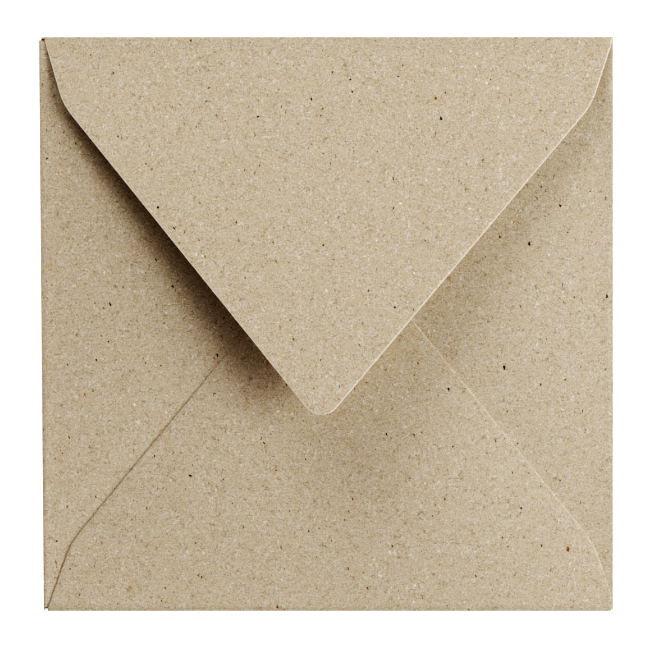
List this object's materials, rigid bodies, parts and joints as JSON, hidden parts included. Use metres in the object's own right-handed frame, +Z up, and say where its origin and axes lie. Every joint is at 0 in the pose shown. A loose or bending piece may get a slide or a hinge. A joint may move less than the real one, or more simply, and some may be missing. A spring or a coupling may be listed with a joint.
{
  "type": "kraft envelope",
  "caption": "Square kraft paper envelope lying on its front, with glued side and bottom flaps, a bowed pocket and a pointed closure flap folded over but not sealed.",
  "frame": {"origin": "centre of the outline, on the face that the envelope lies on", "axes": "+X to the right seen from the flap side, +Y towards the fold of the closure flap, +Z up out of the flap side"},
  "size_m": [0.155, 0.155, 0.0187],
  "materials": {
    "kraft_back": "matt recycled kraft paper with flecks",
    "kraft_flap": "matt recycled kraft paper with flecks",
    "kraft_front": "matt recycled kraft paper with flecks",
    "dry_glue": "dry adhesive, slightly darker and smoother than the paper",
    "dry_gum": "dry gum, satin sheen"
  },
  "bodies": {
    "envelope": {"front_panel": "kraft_front", "left_fold": "kraft_back", "right_fold": "kraft_back", "bottom_fold": "kraft_back", "left_side_flap": "kraft_back", "right_side_flap": "kraft_back", "bottom_flap": "kraft_back", "flap_fold": "kraft_flap", "left_seam_glue": "dry_glue", "right_seam_glue": "dry_glue"},
    "flap": {"closure_flap": "kraft_flap", "flap_gum": "dry_gum"}
  },
  "joints": [
    {"name": "flap_hinge", "type": "hinge", "parent": "envelope", "child": "flap", "pos_m": [0, 0.07682, 0.00068], "axis": [-1, 0, 0], "range_deg": [0, 170], "deforming": ["flap_fold"]}
  ]
}
